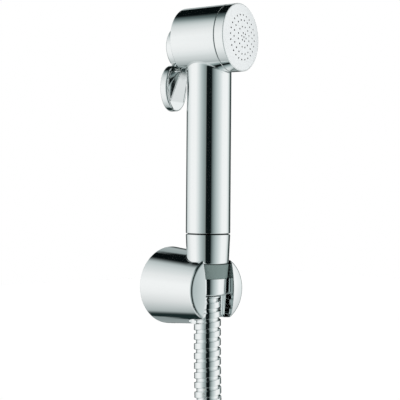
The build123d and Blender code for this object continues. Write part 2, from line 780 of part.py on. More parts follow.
hose_top = Vector(0, -reach, ferrule_foot_z)
coil_start = Vector(0.6, -34.2, coil_z)
coil_end = coil_start - Vector(0, 2 * strand, 0)
hose_end = coil_end - Vector(0, 0, end_drop)
hose_tube = hose_run(
    [
        hose_top,
        Vector(0, -reach, -32.0),
        Vector(0.5, -32.9, -63.0),
        Vector(0.9, -33.7, -94.0),
        Vector(0.6, -34.2, -125.0),
        coil_start,
    ]
)
hose_tube.label = "hose_tube"
export_step(hose_tube, "parts/hose_tube.step")

with BuildPart(Plane(origin=hose_end)) as hose_end_tube:
    Cylinder(hose_r, end_drop, align=foot)
hose_end_tube.part.label = "hose_end_tube"
export_step(hose_end_tube.part, "parts/hose_end_tube.step")

# Coil: two turns side by side. The lower half holds strands one and two, the upper half two and
# three, and both reach past the left side, where the strands cross over.
coil_x = coil_start.X - coil_r
coil_axis = Axis((coil_x, 0, coil_z), (0, 1, 0))
lower_y = coil_start.Y - strand / 2
upper_y = coil_end.Y + strand / 2
with BuildPart() as hose_coil:
    for middle_y, axis in ((lower_y, coil_axis), (upper_y, coil_axis.reverse())):
        with BuildSketch(Plane.XY.offset(coil_z)):
            with Locations((coil_start.X, middle_y)):
                SlotOverall(strand + 2 * hose_r, 2 * hose_r, rotation=90)
        revolve(axis=axis, revolution_arc=180 + crossing)
hose_coil.part.label = "hose_coil"
export_step(hose_coil.part, "parts/hose_coil.step")

# Ties round two strands of the coil, one at its foot and one at its top
for tie_name, middle_y, tie_z in (
    ("coil_tie_foot", lower_y, coil_z - coil_r),
    ("coil_tie_top", upper_y, coil_z + coil_r),
):
    with BuildPart() as coil_tie:
        with BuildSketch(Plane(origin=(coil_x, middle_y, tie_z), x_dir=(0, 0, 1), z_dir=(1, 0, 0))):
            inside_r = hose_r + tie_gap
            SlotOverall(strand + 2 * (inside_r + tie_t), 2 * (inside_r + tie_t), rotation=90)
            SlotOverall(strand + 2 * inside_r, 2 * inside_r, rotation=90, mode=Mode.SUBTRACT)
        extrude(amount=tie_w / 2, both=True)
    coil_tie.part.label = tie_name
    export_step(coil_tie.part, f"parts/{tie_name}.step")

# Lower end of the hose: ferrule, crimp ring, tail, nut and washer, hanging below the coil's end
end_axis = Axis(tuple(hose_end), (0, 0, 1))
end_profile = Plane(origin=hose_end, x_dir=(1, 0, 0), z_dir=(0, -1, 0))
end_nut_top = -end_ferrule_h - seat_gap
end_flange_top = end_nut_top - end_web - seat_gap
with BuildPart() as end_ferrule:
    with BuildSketch(end_profile):
        Polygon(
            (hose_r + running, 0),
            (ferrule_foot_r, 0),
            (ferrule_top_r, -end_ferrule_h),
            (tail_r + running, -end_ferrule_h),
            (tail_r + running, -end_ferrule_h + ferrule_web),
            (hose_r + running, -end_ferrule_h + ferrule_web),
            align=None,
        )
    revolve(axis=end_axis)
    top_circles = end_ferrule.edges().filter_by(GeomType.CIRCLE).group_by(Axis.Z)[-1]
    fillet(top_circles.sort_by(SortBy.RADIUS)[-1], ferrule_round)
end_ferrule.part.label = "end_ferrule"
export_step(end_ferrule.part, "parts/end_ferrule.step")

with BuildPart(Plane(origin=hose_end)) as end_crimp_ring:
    Cylinder(hose_r, end_ferrule_h - ferrule_web - seat_gap, align=(Align.CENTER, Align.CENTER, Align.MAX))
    Hole(barb_r + running)
end_crimp_ring.part.label = "end_crimp_ring"
export_step(end_crimp_ring.part, "parts/end_crimp_ring.step")

with BuildPart() as end_tail:
    with BuildSketch(end_profile):
        Polygon(
            (tail_bore_r, 0),
            *reversed(barb_outline(ferrule_web - end_ferrule_h, 1, end_ferrule_h - ferrule_web)),
            (tail_r, ferrule_web - end_ferrule_h),
            (tail_r, end_flange_top),
            (end_flange_r, end_flange_top),
            (end_flange_r, end_flange_top - end_flange_t),
            (tail_bore_r, end_flange_top - end_flange_t),
            align=None,
        )
    revolve(axis=end_axis)
end_tail.part.label = "end_tail"
export_step(end_tail.part, "parts/end_tail.step")

end_nut_plane = Plane(origin=hose_end + Vector(0, 0, end_nut_top - end_nut_h))
with BuildPart() as end_nut:
    with BuildSketch(end_profile):
        with Locations((0, end_nut_top)):
            Polygon(
                (0, 0),
                (end_nut_flat / 2, 0),
                (end_nut_flat / 2 + end_nut_chamfer * 2, -end_nut_chamfer),
                (end_nut_flat / 2 + end_nut_chamfer * 2, end_nut_chamfer - end_nut_h),
                (end_nut_flat / 2, -end_nut_h),
                (0, -end_nut_h),
                align=None,
            )
    revolve(axis=end_axis)
    with BuildSketch(end_nut_plane):
        RegularPolygon(end_nut_flat / 2, 6, major_radius=False)
    extrude(amount=end_nut_h, mode=Mode.INTERSECT)
    with Locations(end_nut_plane):
        Cylinder(tail_r + running, end_nut_h, align=foot, mode=Mode.SUBTRACT)
        Cylinder(thread_r, thread_l, align=foot, mode=Mode.SUBTRACT)
    with Locations(end_nut_plane.offset(thread_l)):
        Cylinder(relief_r, end_nut_h - end_web - thread_l, align=foot, mode=Mode.SUBTRACT)
end_nut.part.label = "end_nut"
export_step(end_nut.part, "parts/end_nut.step")

with BuildPart(Plane(origin=hose_end + Vector(0, 0, end_flange_top - end_flange_t))) as end_washer:
    Cylinder(end_flange_r, end_washer_t, align=(Align.CENTER, Align.CENTER, Align.MAX))
    Hole(tail_r)
end_washer.part.label = "end_washer"
export_step(end_washer.part, "parts/end_washer.step")
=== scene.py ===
from math import cos, pi, radians, sin, tan

import bmesh
import bpy
from mathutils import Matrix, Vector


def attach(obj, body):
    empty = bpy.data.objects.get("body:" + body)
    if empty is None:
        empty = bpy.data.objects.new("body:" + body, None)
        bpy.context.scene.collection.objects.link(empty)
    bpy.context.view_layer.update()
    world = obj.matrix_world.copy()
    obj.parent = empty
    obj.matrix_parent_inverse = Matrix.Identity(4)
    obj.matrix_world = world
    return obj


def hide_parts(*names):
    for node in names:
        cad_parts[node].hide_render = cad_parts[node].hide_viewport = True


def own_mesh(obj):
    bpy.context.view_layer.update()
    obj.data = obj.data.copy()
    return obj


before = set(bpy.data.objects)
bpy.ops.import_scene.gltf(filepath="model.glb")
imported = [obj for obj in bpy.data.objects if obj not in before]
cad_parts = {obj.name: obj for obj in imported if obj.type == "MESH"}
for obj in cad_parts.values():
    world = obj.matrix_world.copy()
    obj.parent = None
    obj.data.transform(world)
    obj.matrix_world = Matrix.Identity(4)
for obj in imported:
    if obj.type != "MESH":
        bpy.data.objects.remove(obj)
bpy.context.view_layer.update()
print("frame loaded")

mm = 0.001

# The handset stands in its holder turned a little to the right, so its pieces are made upright
# about their own axes and then put in place
place = {
    "reach": 32.4 * mm,  # wall to the handle's axis
    "turn": 17.0,  # degrees
    "headHeight": 134.0 * mm,
}
# handset: X sideways, Y backward, Z up; barrel: X sideways, Y up, Z forward from the handle's axis
handsetPlace = Matrix.Translation((0, -place["reach"], 0)) @ Matrix.Rotation(radians(place["turn"]), 4, "Z")
barrelPlace = handsetPlace @ Matrix.Translation((0, 0, place["headHeight"])) @ Matrix.Rotation(radians(90), 4, "X")

# Camera, as the photograph was taken: level, from the left, with a long lens
camera = {
    "position": (-0.37243, -0.48484, 0.04777),
    "azimuth": -39.05,
    "roll": 0.43,
    "lens": 97.76,
    "shift": (-0.00125, 0.0),  # half a pixel, to the middle of the photograph's pixels
}
cameraData = bpy.data.cameras.new("camera")
cameraData.lens = camera["lens"]
cameraData.sensor_width = 36
cameraData.shift_x, cameraData.shift_y = camera["shift"]
cameraData.clip_start = 0.01
cameraObject = bpy.data.objects.new("camera", cameraData)
bpy.context.scene.collection.objects.link(cameraObject)
cameraObject.matrix_world = (
    Matrix.Translation(camera["position"])
    @ Matrix.Rotation(radians(camera["azimuth"]), 4, "Z")
    @ Matrix.Rotation(radians(90), 4, "X")
    @ Matrix.Rotation(radians(camera["roll"]), 4, "Z")
)
bpy.context.scene.camera = cameraObject
print("camera set")


# Materials

def hexColour(text, alpha=1.0):
    # sRGB hex to the linear colour that a shader wants
    channels = []
    for start in (0, 2, 4):
        value = int(text[start:start + 2], 16) / 255
        channels.append(value / 12.92 if value <= 0.04045 else ((value + 0.055) / 1.055) ** 2.4)
    return (*channels, alpha)


def addNode(tree, kind, settings=None, links=None):
    # settings: properties by name, and sockets by name or number; links: socket -> (node, output)
    node = tree.nodes.new(kind)
    for name, value in (settings or {}).items():
        if isinstance(name, str) and hasattr(node, name):
            setattr(node, name, value)
        else:
            node.inputs[name].default_value = value
    for name, (source, output) in (links or {}).items():
        tree.links.new(source.outputs[output], node.inputs[name])
    return node


def newMaterial(name):
    material = bpy.data.materials.new(name)
    material.use_nodes = True
    material.node_tree.nodes.clear()
    return material, material.node_tree


def finishMaterial(tree, shader):
    addNode(tree, "ShaderNodeOutputMaterial", links={"Surface": (shader, 0)})


def perMetre(sizeInMm):
    # noise scale, in features a metre, for a feature of that size
    return 1 / (sizeInMm * mm)


# Bright chrome plate on brass: cast, ground, buffed and plated. The eye sees a clear mirror, with a
# very slight unevenness from the buffing wheel and a thin film of dried water that dulls it here and there.
chromeLook = {"colour": "f1f4f4", "roughness": 0.035, "filmRoughness": 0.06, "filmPatch": 9.0,
              "waviness": 7.0, "wavinessDepth": 0.012, "edgeRound": 0.2}
# The holder's slot and bore have wide soft lips, left by the buffing
softLipLook = {**chromeLook, "edgeRound": 0.35}
# The lever is buffed softer still, as it is pressed with the finger
leverLook = {**chromeLook, "roughness": 0.06, "filmRoughness": 0.09, "edgeRound": 1.0}
# Painted shade in narrow seams: they are painted nearly black beside the chrome, where little light gets in
seamShadeLook = {"colour": "1c2424", "depth": 1.4, "inside": 0.35, "outside": 0.62, "alone": False}
# Painted shade in the hollow behind the lever's pad, which lies in the shade of the pad and the barrel
hollowShadeLook = {"colour": "4e5e5c", "depth": 6.0, "inside": 0.45, "outside": 0.72, "alone": False}


def paintShadeInHoles(tree, shader, colour, holeShade):
    # the surface's colour, with painted shade: the shade colour where little light gets into holes, seams and hollows
    shadow = addNode(tree, "ShaderNodeAmbientOcclusion",
                     {"samples": 8, "only_local": holeShade["alone"], "Distance": holeShade["depth"] * mm})
    inside = addNode(tree, "ShaderNodeMapRange", {"From Min": holeShade["inside"], "From Max": holeShade["outside"]},
                     {"Value": (shadow, "AO")})
    mixed = addNode(tree, "ShaderNodeMix",
                    {"data_type": "RGBA", 6: hexColour(holeShade["colour"]), 7: hexColour(colour)},
                    {0: (inside, 0)})
    tree.links.new(mixed.outputs[2], shader.inputs["Base Color"])


def chromePlate(name, look, paintedShade=None):
    material, tree = newMaterial(name)
    where = addNode(tree, "ShaderNodeTexCoord")
    film = addNode(tree, "ShaderNodeTexNoise",
                   {"Scale": perMetre(look["filmPatch"]), "Detail": 5.0, "Roughness": 0.6},
                   {"Vector": (where, "Object")})
    filmRange = addNode(tree, "ShaderNodeMapRange",
                        {"From Min": 0.45, "From Max": 0.8, "To Min": look["roughness"],
                         "To Max": look["filmRoughness"]},
                        {"Value": (film, "Fac")})
    waves = addNode(tree, "ShaderNodeTexNoise",
                    {"Scale": perMetre(look["waviness"]), "Detail": 1.0},
                    {"Vector": (where, "Object")})
    edges = addNode(tree, "ShaderNodeBevel", {"samples": 8, "Radius": look["edgeRound"] * mm})
    bump = addNode(tree, "ShaderNodeBump",
                   {"Strength": look["wavinessDepth"], "Distance": 0.0005},
                   {"Height": (waves, "Fac"), "Normal": (edges, 0)})
    shader = addNode(tree, "ShaderNodeBsdfPrincipled",
                     {"Base Color": hexColour(look["colour"]), "Metallic": 1.0},
                     {"Roughness": (filmRange, 0), "Normal": (bump, 0)})
    if paintedShade:
        paintShadeInHoles(tree, shader, look["colour"], paintedShade)
    finishMaterial(tree, shader)
    return material


def mouldedPlastic(name, look, holeShade=None):
    # an even colour with a soft sheen and a very fine skin from the mould
    material, tree = newMaterial(name)
    where = addNode(tree, "ShaderNodeTexCoord")
    skin = addNode(tree, "ShaderNodeTexNoise", {"Scale": perMetre(look["grain"]), "Detail": 3.0},
                   {"Vector": (where, "Object")})
    wear = addNode(tree, "ShaderNodeTexNoise", {"Scale": perMetre(look["patch"]), "Detail": 4.0},
                   {"Vector": (where, "Object")})
    gloss = addNode(tree, "ShaderNodeMapRange",
                    {"From Min": 0.35, "From Max": 0.7, "To Min": look["roughness"],
                     "To Max": look["roughness"] + look["roughnessSpread"]},
                    {"Value": (wear, "Fac")})
    bump = addNode(tree, "ShaderNodeBump", {"Strength": look["skin"], "Distance": 0.0001},
                   {"Height": (skin, "Fac")})
    shader = addNode(tree, "ShaderNodeBsdfPrincipled",
                     {"Base Color": hexColour(look["colour"]), "IOR": look["ior"]},
                     {"Roughness": (gloss, 0), "Normal": (bump, 0)})
    if holeShade:
        paintShadeInHoles(tree, shader, look["colour"], holeShade)
    finishMaterial(tree, shader)
    return material


# Glossy white ABS of the spray face: it shines softly and its edges stay crisp
absLook = {"colour": "e9edee", "roughness": 0.28, "roughnessSpread": 0.08, "grain": 0.4, "patch": 8.0,
           "skin": 0.04, "ior": 1.54}
# Painted shade in the small jets: they are painted black, as no light gets into them
jetShadeLook = {"colour": "060809", "depth": 2.0, "inside": 0.85, "outside": 0.97, "alone": True}
# Grey acetal of the swivel ring: a waxy, even grey that tells the turning joint from the chrome
acetalLook = {"colour": "758784", "roughness": 0.38, "roughnessSpread": 0.1, "grain": 0.5, "patch": 5.0,
              "skin": 0.08, "ior": 1.48}
# Natural nylon of the ties: milky and slightly dull
nylonLook = {"colour": "dcdcd4", "roughness": 0.42, "roughnessSpread": 0.1, "grain": 0.4, "patch": 4.0,
             "skin": 0.12, "ior": 1.53}
# Black nitrile rubber of the seals: matt, with a dusty bloom
rubberLook = {"colour": "1c1c1d", "roughness": 0.62, "roughnessSpread": 0.2, "grain": 0.15, "patch": 3.0,
              "skin": 0.3, "ior": 1.52}


def machinedMetal(name, look):
    # Turned metal: its colour, with fine tool marks as rings across the piece
    material, tree = newMaterial(name)
    where = addNode(tree, "ShaderNodeTexCoord")
    rings = addNode(tree, "ShaderNodeTexWave",
                    {"wave_type": "BANDS", "bands_direction": "Z", "Scale": perMetre(look["mark"]) / 20,
                     "Distortion": 1.5, "Detail": 2.0, "Detail Scale": 1.0},
                    {"Vector": (where, "Object")})
    tarnish = addNode(tree, "ShaderNodeTexNoise", {"Scale": perMetre(look["patch"]), "Detail": 4.0},
                      {"Vector": (where, "Object")})
    gloss = addNode(tree, "ShaderNodeMapRange",
                    {"From Min": 0.35, "From Max": 0.7, "To Min": look["roughness"],
                     "To Max": look["roughness"] + look["roughnessSpread"]},
                    {"Value": (tarnish, "Fac")})
    bump = addNode(tree, "ShaderNodeBump", {"Strength": look["depth"], "Distance": 0.0001},
                   {"Height": (rings, "Fac")})
    shader = addNode(tree, "ShaderNodeBsdfPrincipled",
                     {"Base Color": hexColour(look["colour"]), "Metallic": 1.0},
                     {"Roughness": (gloss, 0), "Normal": (bump, 0)})
    finishMaterial(tree, shader)
    return material


# Machined brass of the swivel and the hose tails: warm yellow, a little tarnished from the water
brassLook = {"colour": "d9b566", "roughness": 0.24, "roughnessSpread": 0.14, "mark": 0.25, "patch": 4.0, "depth": 0.1}
# Stainless steel of the screws, pin, spring and wall plate: greyer and less clear than the chrome
steelLook = {"colour": "c4c6c5", "roughness": 0.26, "roughnessSpread": 0.12, "mark": 0.2, "patch": 5.0, "depth": 0.08}

chrome = chromePlate("brightChromePlate", chromeLook)
# these two chromes paint shade into narrow seams
chromeWithPaintedSeamShade = chromePlate("brightChromePlatePaintedSeamShade", chromeLook, seamShadeLook)
softLipChrome = chromePlate("brightChromePlateSoftLips", softLipLook, seamShadeLook)
# this chrome paints shade into the hollow behind the lever's pad
leverChrome = chromePlate("brightChromePlateLever", leverLook, hollowShadeLook)
whiteAbs = mouldedPlastic("whiteAbs", absLook)
greyAcetal = mouldedPlastic("greyAcetal", acetalLook)
# this white paints shade into its jets
sprayAbsWithPaintedJetShade = mouldedPlastic("whiteAbsWithPaintedJetShade", absLook, jetShadeLook)
nylon = mouldedPlastic("naturalNylon", nylonLook)
rubber = mouldedPlastic("blackNitrileRubber", rubberLook)
brass = machinedMetal("machinedBrass", brassLook)
steel = machinedMetal("stainlessSteel", steelLook)
print("materials made")


# The hose, made first with the camera: a spiral metal hose of 14.6 mm, whose unseen length hangs in
# a tied coil of two turns and ends in its nut
hose = {
    "radius": 7.3 * mm,
    "grooveRadius": 6.15 * mm,
    "pitch": 5.2 * mm,
    "crest": 3.3 * mm,  # width of the raised strip
    "sideWidth": 0.2 * mm,
    "lipRadius": 0.25 * mm,
    "around": 24,
    "coilRadius": 80.0 * mm,
    "coilCentre": (-79.4 * mm, -155.0 * mm),  # X and Z
    "strand": 15.0 * mm,
    "turns": 2,
    "pointsPerTurn": 16,
    "drift": (0.45, 0.55),  # part of a turn in which the hose crosses to the next strand
    "endDrop": 48.0 * mm,
}
hoseTop = (0, -32.4 * mm, -3.3 * mm)
hoseRoute = [
    hoseTop,
    (0, -32.4 * mm, -32.0 * mm),
    (0.5 * mm, -32.9 * mm, -63.0 * mm),
    (0.9 * mm, -33.7 * mm, -94.0 * mm),
    (0.6 * mm, -34.2 * mm, -125.0 * mm),
]


def driftShare(part):
    # how far across to the next strand, after that part of a turn
    low, high = hose["drift"]
    share = min(max((part - low) / (high - low), 0), 1)
    return share * share * (3 - 2 * share)


controlRadius = hose["coilRadius"] / cos(pi / hose["pointsPerTurn"])
for turnIndex in range(hose["turns"]):
    for step in range(hose["pointsPerTurn"]):
        part = (step + 0.5) / hose["pointsPerTurn"]
        angle = 2 * pi * part
        across = turnIndex + driftShare(part)
        hoseRoute.append((
            hose["coilCentre"][0] + controlRadius * cos(angle),
            -34.2 * mm - hose["strand"] * across,
            hose["coilCentre"][1] - controlRadius * sin(angle),
        ))
coilEndY = -34.2 * mm - hose["strand"] * hose["turns"]
coilEndX = 0.6 * mm
for drop in (9.0, 24.0, 40.0, 48.0):
    hoseRoute.append((coilEndX, coilEndY, hose["coilCentre"][1] - drop * mm))
hoseEnd = Vector((coilEndX, coilEndY, hose["coilCentre"][1] - hose["endDrop"]))


def nurbsCurve(name, points):
    curve = bpy.data.curves.new(name, "CURVE")
    curve.dimensions = "3D"
    spline = curve.splines.new("NURBS")
    spline.points.add(len(points) - 1)
    for point, place3 in zip(spline.points, points):
        point.co = (*place3, 1)
    spline.order_u = 3
    spline.use_endpoint_u = True
    spline.resolution_u = 24
    thing = bpy.data.objects.new(name, curve)
    bpy.context.scene.collection.objects.link(thing)
    return thing


def curvePoints(thing):
    bpy.context.view_layer.update()
    line = bpy.data.meshes.new_from_object(thing)
    points = [vertex.co.copy() for vertex in line.vertices]
    bpy.data.meshes.remove(line)
    return points


def lengthOf(points):
    return sum((b - a).length for a, b in zip(points, points[1:]))


def newPiece(name, mesh, materials):
    # mesh from a bmesh, merged, closed and with its faces outward
    bmesh.ops.remove_doubles(mesh, verts=mesh.verts, dist=0.000002)
    bmesh.ops.recalc_face_normals(mesh, faces=mesh.faces)
    data = bpy.data.meshes.new(name)
    mesh.to_mesh(data)
    mesh.free()
    for material in materials:
        data.materials.append(material)
    for polygon in data.polygons:
        polygon.use_smooth = True
    piece = bpy.data.objects.new(name, data)
    bpy.context.scene.collection.objects.link(piece)
    return piece


def applyModifiers(piece):
    bpy.context.view_layer.update()
    graph = bpy.context.evaluated_depsgraph_get()
    final = bpy.data.meshes.new_from_object(piece.evaluated_get(graph))
    old = piece.data
    piece.modifiers.clear()
    piece.data = final
    final.name = piece.name
    bpy.data.meshes.remove(old)


def outline(mesh, points):
    # an open line of edges through points
    verts = [mesh.verts.new(point) for point in points]
    edges = [mesh.edges.new(pair) for pair in zip(verts, verts[1:])]
    return verts + edges


def spiralHose():
    # one turn of the wound strip by a screw spin, then as many turns as the hose is long
    route = nurbsCurve("hoseRoute", hoseRoute)
    path = curvePoints(route)
    total = lengthOf(path)
    crest, groove, pitch = hose["radius"], hose["grooveRadius"], hose["pitch"]
    half = hose["crest"] / 2
    side, lip = hose["sideWidth"], hose["lipRadius"]
    middle = pitch / 2
    leftHalf = [(-pitch / 2, groove), (-half - side - lip, groove), (-half - side, groove), (-half, crest - lip),
                (-half + 0.3 * lip, crest - 0.3 * lip), (-half + lip, crest), (-half + 2 * lip, crest)]
    profile = [(middle + x, radius) for x, radius in leftHalf]
    profile += [(middle - x, radius) for x, radius in reversed(leftHalf)]
    mesh = bmesh.new()
    line = outline(mesh, [(x - 2 * pitch, 0, radius) for x, radius in profile])
    bmesh.ops.spin(mesh, geom=line, cent=(0, 0, 0), axis=(1, 0, 0), angle=2 * pi, steps=hose["around"],
                   dvec=(pitch / hose["around"], 0, 0), use_merge=False)
    turn = newPiece("hoseTurn", mesh, [])
    turns = turn.modifiers.new("turns", "ARRAY")
    turns.use_relative_offset = False
    turns.use_constant_offset = True
    turns.constant_offset_displace = (pitch, 0, 0)
    turns.count = int(total / pitch) + 4
    applyModifiers(turn)
    mesh = bmesh.new()
    mesh.from_mesh(turn.data)
    bpy.data.objects.remove(turn)
    bmesh.ops.remove_doubles(mesh, verts=mesh.verts, dist=0.00001)
    for cutAt, outward in ((0.0, -1), (total, 1)):
        cut = bmesh.ops.bisect_plane(mesh, geom=mesh.verts[:] + mesh.edges[:] + mesh.faces[:], dist=0.000001,
                                     plane_co=(cutAt, 0, 0), plane_no=(outward, 0, 0), clear_outer=True)
        rim = [item for item in cut["geom_cut"] if isinstance(item, bmesh.types.BMEdge)]
        bmesh.ops.holes_fill(mesh, edges=rim, sides=0)
    return route, path, total, mesh


route, hosePath, hoseLength, hoseMesh = spiralHose()
print("hose route", round(hoseLength, 4), "m")
hosePiece = newPiece("spiralHose", hoseMesh, [chrome])
bend = hosePiece.modifiers.new("bend", "CURVE")
bend.object = route
bend.deform_axis = "POS_X"
applyModifiers(hosePiece)
bpy.data.objects.remove(route)
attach(hosePiece, "fixed")
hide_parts("hose_tube", "hose_coil", "hose_end_tube")
print("hose made", len(hosePiece.data.polygons), "faces")

# Turned pieces


def rounded(points, arcSteps=4, support=0.08 * mm):
    # (radius, height, rounding) corners of an outline to its points: each rounding is an arc between
    # two points of support that keep the flats beside it flat to the eye
    made = []
    for index, (radius, height, rounding) in enumerate(points):
        corner = Vector((radius, height))
        if rounding == 0:
            made.append(corner)
            continue
        before = (Vector(points[index - 1][:2]) - corner).normalized()
        after = (Vector(points[(index + 1) % len(points)][:2]) - corner).normalized()
        halfAngle = before.angle(after) / 2
        reach = rounding / tan(halfAngle)
        centre = corner + (before + after).normalized() * rounding / sin(halfAngle)
        start = corner + before * reach - centre
        sweep = start.angle_signed(corner + after * reach - centre)
        made.append(corner + before * (reach + support))
        for step in range(arcSteps + 1):
            made.append(centre + Matrix.Rotation(-sweep * step / arcSteps, 2) @ start)
        made.append(corner + after * (reach + support))
    return made


def turned(mesh, points, matrix, steps=128, closed=True):
    # spins an outline of (radius, height) points about the matrix's Z
    verts = [mesh.verts.new(matrix @ Vector((max(radius, 0), 0, height))) for radius, height in points]
    pairs = list(zip(verts, verts[1:]))
    if closed:
        pairs.append((verts[-1], verts[0]))
    edges = [mesh.edges.new(pair) for pair in pairs]
    bmesh.ops.spin(mesh, geom=verts + edges, cent=matrix.translation, axis=matrix.col[2].xyz, angle=2 * pi,
                   steps=steps, use_merge=True)
    bmesh.ops.remove_doubles(mesh, verts=mesh.verts, dist=0.000002)


def inMetres(corners):
    return [(radius * mm, height * mm, rounding * mm) for radius, height, rounding in corners]


def turnedPiece(name, corners, matrix, material, node, body):
    mesh = bmesh.new()
    turned(mesh, rounded(inMetres(corners)), matrix)
    piece = newPiece(name, mesh, [material])
    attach(piece, body)
    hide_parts(node)
    return piece


# Nut, swivel ring and ferrule below the handle: (radius, height, rounding) in mm
handleAxis = Matrix.Translation((0, -place["reach"], 0))
turnedPiece("hoseNut", [
    (10.45, 29.4, 0), (12.0, 29.4, 0.45), (11.3, 13.5, 1.0), (8.5, 13.5, 0), (8.5, 16.2, 0), (10.45, 16.2, 0),
], handleAxis, chromeWithPaintedSeamShade, "hose_nut", "handset")
turnedPiece("swivelRing", [
    (8.75, 13.4, 0), (11.25, 13.4, 0.3), (10.6, 5.8, 0.25), (5.55, 5.8, 0), (5.55, 7.0, 0), (8.75, 7.0, 0),
], handleAxis, greyAcetal, "swivel_ring", "fixed")
turnedPiece("hoseFerrule", [
    (5.55, 5.8, 0), (10.3, 5.8, 0.25), (10.0, -3.3, 1.2), (7.35, -3.3, 0), (7.35, 4.0, 0), (5.55, 4.0, 0),
], handleAxis, chromeWithPaintedSeamShade, "hose_ferrule", "fixed")
print("nut, ring and ferrule made")

# Handset casting: the barrel and the handle, with the small rounding that the casting has between them
casting = {
    "handle": [(0, 108.0, 0), (9.5, 108.0, 0), (9.5, 38.45, 0), (7.6, 38.45, 0), (7.6, 20.85, 0), (10.4, 20.85, 0.3),
               (10.4, 29.4, 0), (11.0, 29.4, 0), (11.0, 29.9, 0), (12.0, 29.9, 0.35)],
    "barrel": [(0, 1.0, 0), (13.55, 1.0, 0), (13.55, -11.8, 0), (16.85, -11.8, 0), (16.85, -13.4, 0),
               (18.0, -13.4, 0.4), (18.0, 14.3, 0.35), (15.9, 14.3, 0), (15.9, 17.8, 0), (14.6, 17.8, 0),
               (14.6, 16.6, 0), (13.8, 16.6, 0), (13.8, 3.0, 0), (0, 3.0, 0)],
    "barrelRadius": 18.0 * mm,
    "handleRadius": 12.0 * mm,
    "handleTop": 110.0 * mm,  # the handle is plainly round up to here
    "rounding": 0.7 * mm,  # reach of the rounding on each surface
    "roundingSteps": 6,
    "sunk": 1.3 * mm,  # how deep the handle's top ends in the barrel's wall
    "ringGap": 0.1 * mm,  # between the rings that are spun above the handle's top
    "poleHeight": 118.4 * mm,
}


def onBarrel(direction, outward, depth=0.0):
    # the point on the barrel's underside that far from the handle's axis, in the handset's own frame
    x, y = direction * outward
    radius = casting["barrelRadius"] - depth
    return Vector((x, y, place["headHeight"] - (radius * radius - x * x) ** 0.5))


def aroundJunction(direction, ring):
    # where a ring goes in that direction: just below the rounding, along it, or sunk in the wall
    radius, reach = casting["handleRadius"], casting["rounding"]
    corner = onBarrel(direction, radius)
    if ring == 1:
        return corner - Vector((0, 0, reach + 0.3 * mm))
    if ring > casting["roundingSteps"] + 2:
        return onBarrel(direction, radius + reach, casting["sunk"])
    share = (ring - 2) / casting["roundingSteps"]
    below = corner - Vector((0, 0, reach))
    beside = onBarrel(direction, radius + reach)
    return below.lerp(corner, share).lerp(corner.lerp(beside, share), share)


def handsetCasting():
    mesh = bmesh.new()
    radius, top, gap = casting["handleRadius"], casting["handleTop"], casting["ringGap"]
    ringCount = casting["roundingSteps"] + 3
    outline = rounded(inMetres(casting["handle"]) + [(radius, top, 0)])
    outline += [Vector((radius, top + ring * gap)) for ring in range(1, ringCount + 1)]
    outline.append(Vector((0, casting["poleHeight"])))
    turned(mesh, outline, Matrix(), closed=False)
    for vert in mesh.verts:
        ring = round((vert.co.z - top) / gap)
        if 0 < ring <= ringCount:
            vert.co = aroundJunction(vert.co.xy.normalized(), ring)
    turned(mesh, rounded(inMetres(casting["barrel"])), handsetPlace.inverted() @ barrelPlace, closed=False)
    bmesh.ops.transform(mesh, matrix=handsetPlace, verts=mesh.verts)
    piece = newPiece("handsetCasting", mesh, [chromeWithPaintedSeamShade])
    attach(piece, "handset")
    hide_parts("handset_body")


handsetCasting()
print("casting made")

# Closing spring above the valve's disc, held at its top; it is made at one length, though the rising stem shortens it
spring = {
    "top": (-2.222 * mm, -25.132 * mm, 144.6 * mm),
    "height": 6.4 * mm,
    "radius": 2.3 * mm,
    "wireRadius": 0.35 * mm,
    "turns": 5,
    "stepsPerTurn": 32,
    "aroundWire": 12,
    "travel": 2.2 * mm,
}


def valveSpring():
    mesh = bmesh.new()
    wire, steps = spring["wireRadius"], spring["turns"] * spring["stepsPerTurn"]
    foot = Vector(spring["top"]) - Vector((0, 0, spring["height"] - wire))
    start = Matrix.Translation(foot + Vector((spring["radius"], 0, 0))) @ Matrix.Rotation(radians(90), 4, "X")
    bmesh.ops.create_circle(mesh, segments=spring["aroundWire"], radius=wire, matrix=start)
    bmesh.ops.spin(mesh, geom=mesh.verts[:] + mesh.edges[:], cent=foot, axis=(0, 0, 1),
                   angle=2 * pi * spring["turns"], steps=steps,
                   dvec=(0, 0, (spring["height"] - 2 * wire) / steps), use_merge=False)
    bmesh.ops.holes_fill(mesh, edges=[edge for edge in mesh.edges if edge.is_boundary], sides=0)
    piece = newPiece("valveSpring", mesh, [steel])
    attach(piece, "handset")
    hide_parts("valve_spring")
    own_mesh(piece)


valveSpring()
print("spring made")

# Finishes of the CAD nodes that stay as they are
finishes = {
    # the chrome below paints shade into seams, and the lever's chrome into the hollow behind its pad
    "softLips": (softLipChrome, ["holder_body"]),
    "softLever": (leverChrome, ["trigger"]),
    "paintedShade": (chromeWithPaintedSeamShade, ["rear_cap", "face_collar", "end_ferrule", "end_nut"]),
    "brass": (brass, ["swivel_core", "hose_tail", "end_tail", "valve_stem"]),
    "steel": (steel, ["wall_plate", "set_screw", "retaining_ring", "crimp_ring", "end_crimp_ring",
                      "trigger_pin", "sieve", "cap_screw_near", "cap_screw_far"]),
    "rubber": (rubber, ["swivel_seal", "stem_seal", "valve_washer", "face_seal", "inlet_washer", "end_washer"]),
    # painted shade in the jets of these parts
    "jets": (sprayAbsWithPaintedJetShade, ["spray_face", "flow_disc"]),
    "pale_plastic": (whiteAbs, ["valve_cartridge", "spring_plug"]),
    "tie_plastic": (nylon, ["coil_tie_foot", "coil_tie_top"]),
}
for material, names in finishes.values():
    for name in names:
        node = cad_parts[name]
        node.data.materials.clear()
        node.data.materials.append(material)
print("finishes given")

